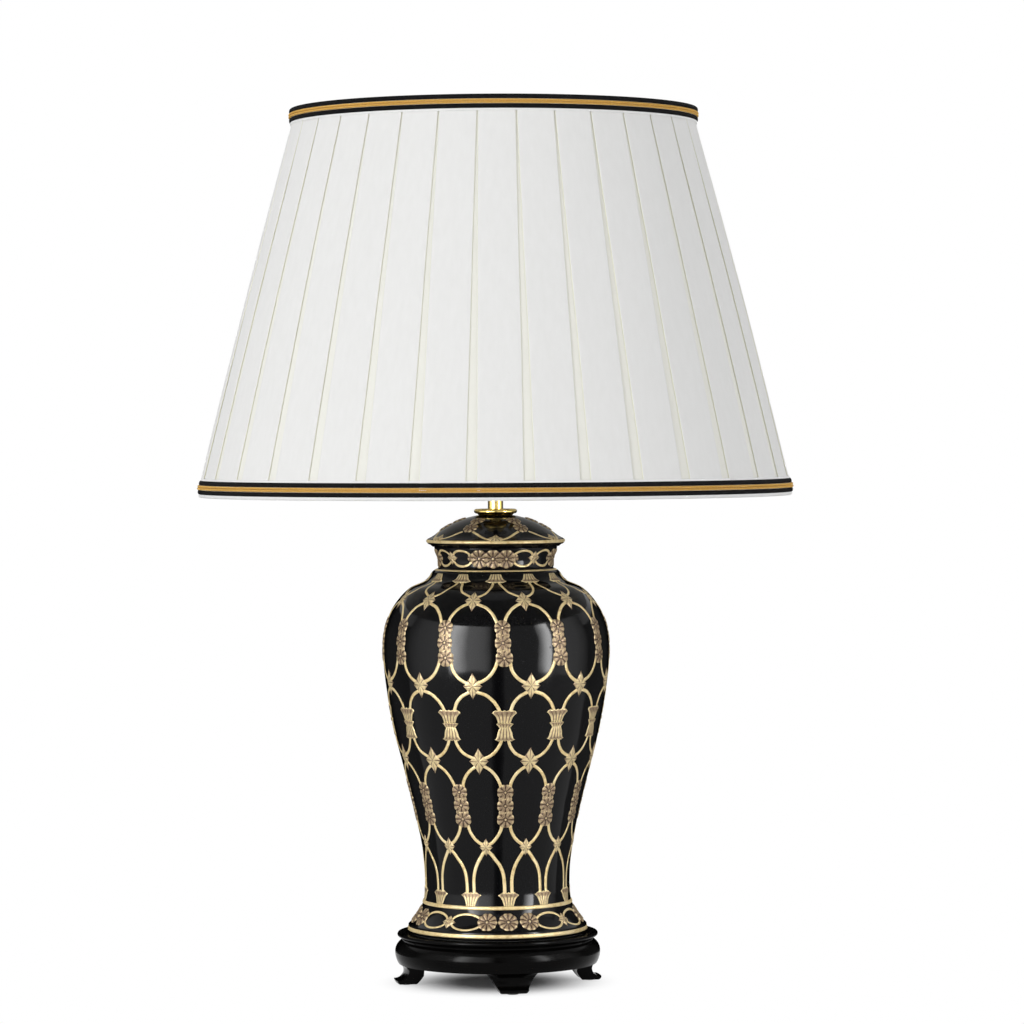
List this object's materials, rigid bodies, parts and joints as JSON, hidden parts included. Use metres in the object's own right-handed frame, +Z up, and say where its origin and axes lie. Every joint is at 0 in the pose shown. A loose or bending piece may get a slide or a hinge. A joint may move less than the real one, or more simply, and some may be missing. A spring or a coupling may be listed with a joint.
{
  "type": "ginger jar table lamp",
  "caption": "Table lamp: black glazed jar with its lid on a footed wooden stand, brass neck and harp, and a flared box-pleated fabric shade with braid trims.",
  "frame": {"origin": "on the table under the middle of the stand, in the plane of the felt pads", "axes": "+Z up along the rod, -Y towards the front, +X to the right of the lamp seen from the front"},
  "size_m": [0.5084, 0.5084, 0.746],
  "materials": {
    "black_wood": "satin",
    "felt": "matte",
    "rubber": "matte",
    "steel": "satin",
    "black_glaze": "gloss",
    "brass": "polished",
    "nickel": "satin",
    "card": "matte",
    "phenolic": "matte",
    "key_black": "gloss",
    "opal_glass": "satin",
    "bulb_metal": "satin",
    "bulb_insulation": "gloss",
    "solder": "satin",
    "shade_fabric": "matte",
    "shade_liner": "satin",
    "frame_wire": "satin",
    "braid": "satin"
  },
  "bodies": {
    "lamp": {"stand_top": "black_wood", "stand_apron": "black_wood", "foot_front": "black_wood", "foot_right": "black_wood", "foot_back": "black_wood", "foot_left": "black_wood", "foot_pads": "felt", "cord_bush": "rubber", "base_washer": "steel", "lock_washer": "steel", "base_nut": "steel", "jar_gasket": "rubber", "jar_body": "black_glaze", "jar_lid": "black_glaze", "vase_cap": "brass", "centre_rod": "steel", "neck_sleeve": "brass", "harp_saddle": "brass", "socket_cap": "brass", "socket_shell": "brass", "socket_liner": "card", "socket_body": "phenolic", "screw_shell": "nickel", "centre_contact": "brass", "terminal_screws": "brass", "harp": "brass"},
    "shade": {"spider_hub": "brass", "spider_arms": "brass", "top_ring": "frame_wire", "bottom_ring": "frame_wire", "frame_struts": "frame_wire", "shade_cover": "shade_fabric", "shade_lining": "shade_liner", "top_trim": "braid", "bottom_trim": "braid"},
    "screw_finial": {"finial": "brass"},
    "bulb": {"bulb_glass": "opal_glass", "bulb_cap": "bulb_metal", "bulb_insulator": "bulb_insulation", "bulb_contact": "solder"},
    "turn_key": {"switch_key": "key_black", "key_shaft": "steel"},
    "left_ferrule": {"ferrule_left": "brass"},
    "right_ferrule": {"ferrule_right": "brass"}
  },
  "joints": [
    {"name": "shade_swivel", "type": "hinge", "parent": "lamp", "child": "shade", "pos_m": [0, 0, 0.7181], "axis": [0, 0, 1], "continuous": true},
    {"name": "finial_turn", "type": "hinge", "parent": "lamp", "child": "screw_finial", "pos_m": [0, 0, 0.72], "axis": [0, 0, 1], "continuous": true},
    {"name": "bulb_turn", "type": "hinge", "parent": "lamp", "child": "bulb", "pos_m": [0, 0, 0.48], "axis": [0, 0, 1], "continuous": true},
    {"name": "key_turn", "type": "hinge", "parent": "lamp", "child": "turn_key", "pos_m": [0, -0.02, 0.4538], "axis": [0, -1, 0], "continuous": true},
    {"name": "left_ferrule_lift", "type": "slide", "parent": "lamp", "child": "left_ferrule", "axis": [0, 0, 1], "range_m": [0, 0.012]},
    {"name": "right_ferrule_lift", "type": "slide", "parent": "lamp", "child": "right_ferrule", "axis": [0, 0, 1], "range_m": [0, 0.012]}
  ]
}
